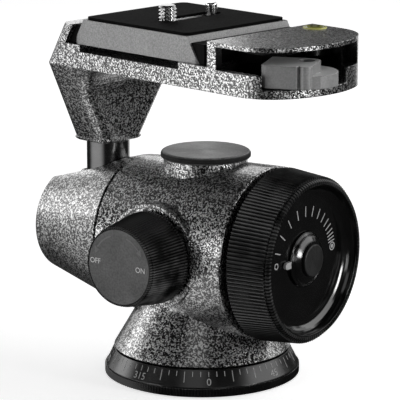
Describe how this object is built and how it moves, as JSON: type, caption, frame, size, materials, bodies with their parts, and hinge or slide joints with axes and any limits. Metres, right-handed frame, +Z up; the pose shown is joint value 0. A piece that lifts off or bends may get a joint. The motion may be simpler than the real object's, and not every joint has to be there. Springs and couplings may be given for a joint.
{
  "type": "ball head",
  "caption": "Ball head with an offset slotted ball housing, a pan lock knob, a large tilt lock knob with a dial, and a dovetail camera platform clamped by a lever.",
  "frame": {"origin": "centre of the underside of the base, on the pan axis, at the mouth of the tripod thread", "axes": "+Z up along the pan axis, +X along the barrel towards the tilt knob, -Y towards the pan knob"},
  "size_m": [0.1306, 0.0828, 0.1342],
  "materials": {
    "hammer_paint": "hammer-finish paint on a light-alloy casting",
    "black_metal": "satin black anodised",
    "satin_black": "satin spun",
    "knob_black": "ridged satin",
    "gloss_black": "gloss",
    "pale_mark": "gloss",
    "steel": "machined",
    "brass": "machined",
    "polymer": "moulded",
    "chrome": "polished",
    "lever_grey": "satin",
    "plate_grey": "brushed",
    "pad_rubber": "matt",
    "level_fluid": "clear yellow-green"
  },
  "bodies": {
    "base": {"base_ring": "black_metal", "pan_spindle": "steel", "pan_washer": "polymer", "pan_disc": "steel", "pan_nut": "steel"},
    "body": {"body_casting": "hammer_paint", "top_cap": "satin_black", "pan_bush": "brass", "tilt_bearing": "steel", "tilt_hub": "gloss_black", "hub_cap": "satin_black", "tilt_pointer": "pale_mark", "housing_ring": "steel"},
    "pan_lock": {"pan_knob": "knob_black", "pan_knob_face": "satin_black", "pan_screw": "steel"},
    "wedge": {"pan_plunger": "brass"},
    "shoe": {"pan_shoe": "brass"},
    "tilt_lock": {"tilt_knob": "knob_black", "tilt_dial": "gloss_black"},
    "ball_clamp": {"thrust_ring": "brass", "thrust_pins": "steel", "pressure_plate": "black_metal", "spring_stack": "steel", "push_rod": "black_metal", "clamp_cup": "polymer"},
    "housing": {"ball_housing": "hammer_paint", "ball_seat": "polymer"},
    "stem": {"ball_stem": "chrome"},
    "platform": {"bracket": "hammer_paint", "foot_insert": "steel", "fixed_jaw": "black_metal", "lever_pin": "black_metal", "jaw_spring": "steel", "level_vial": "level_fluid", "level_bezel": "satin_black"},
    "lever": {"qr_lever": "lever_grey"},
    "jaw": {"moving_jaw": "black_metal"},
    "plate": {"camera_plate": "plate_grey", "plate_pad": "pad_rubber", "pin_bush": "black_metal"},
    "screw_slider": {"screw_washer": "polymer"},
    "screw": {"camera_screw": "chrome"},
    "locating_pin": {"video_pin": "chrome"}
  },
  "joints": [
    {"name": "pan", "type": "hinge", "parent": "base", "child": "body", "pos_m": [0, 0, 0], "axis": [0, 0, 1], "continuous": true},
    {"name": "pan_knob_turn", "type": "hinge", "parent": "body", "child": "pan_lock", "pos_m": [0, -0.04, 0.048], "axis": [0, 1, 0], "range_deg": [0, 120]},
    {"name": "wedge_slide", "type": "slide", "parent": "body", "child": "wedge", "axis": [0, 1, 0], "range_m": [0, 0.0004]},
    {"name": "shoe_slide", "type": "slide", "parent": "body", "child": "shoe", "axis": [0, 0, -1], "range_m": [0, 0.0004]},
    {"name": "tilt_knob_turn", "type": "hinge", "parent": "body", "child": "tilt_lock", "pos_m": [0.04, 0, 0.048], "axis": [-1, 0, 0], "range_deg": [0, 180]},
    {"name": "clamp_slide", "type": "slide", "parent": "body", "child": "ball_clamp", "axis": [-1, 0, 0], "range_m": [0, 0.0004]},
    {"name": "roll", "type": "hinge", "parent": "body", "child": "housing", "pos_m": [-0.0426, 0, 0.048], "axis": [1, 0, 0], "range_deg": [-90, 90]},
    {"name": "swing", "type": "hinge", "parent": "housing", "child": "stem", "pos_m": [-0.0426, 0, 0.048], "axis": [0, -1, 0], "range_deg": [0, 90]},
    {"name": "platform_turn", "type": "hinge", "parent": "stem", "child": "platform", "pos_m": [-0.0426, 0, 0.09], "axis": [0, 0, 1], "continuous": true},
    {"name": "lever_swing", "type": "hinge", "parent": "platform", "child": "lever", "pos_m": [0.05729, -0.01858, 0.118], "axis": [0, 0, 1], "range_deg": [0, 120]},
    {"name": "jaw_slide", "type": "slide", "parent": "platform", "child": "jaw", "axis": [0.9903, -0.1392, 0], "range_m": [0, 0.0028]},
    {"name": "plate_slide", "type": "slide", "parent": "platform", "child": "plate", "axis": [0.1392, 0.9903, 0], "range_m": [-0.015, 0.015]},
    {"name": "screw_slide", "type": "slide", "parent": "plate", "child": "screw_slider", "axis": [0.1392, 0.9903, 0], "range_m": [0, 0.007]},
    {"name": "screw_turn", "type": "hinge", "parent": "screw_slider", "child": "screw", "pos_m": [-0.00448, -0.01404, 0.125], "axis": [0, 0, 1], "continuous": true},
    {"name": "pin_press", "type": "slide", "parent": "plate", "child": "locating_pin", "axis": [0, 0, -1], "range_m": [0, 0.0025], "stiffness_N_per_m": 200, "springref_m": -0.004}
  ],
  "couplings": [
    {"joint": "wedge_slide", "follows": "pan_knob_turn", "m_per_rad": 0.00019098},
    {"joint": "shoe_slide", "follows": "pan_knob_turn", "m_per_rad": 0.00019098},
    {"joint": "clamp_slide", "follows": "tilt_knob_turn", "m_per_rad": 0.0001273},
    {"joint": "jaw_slide", "follows": "lever_swing", "m_per_rad": 0.0013369}
  ]
}
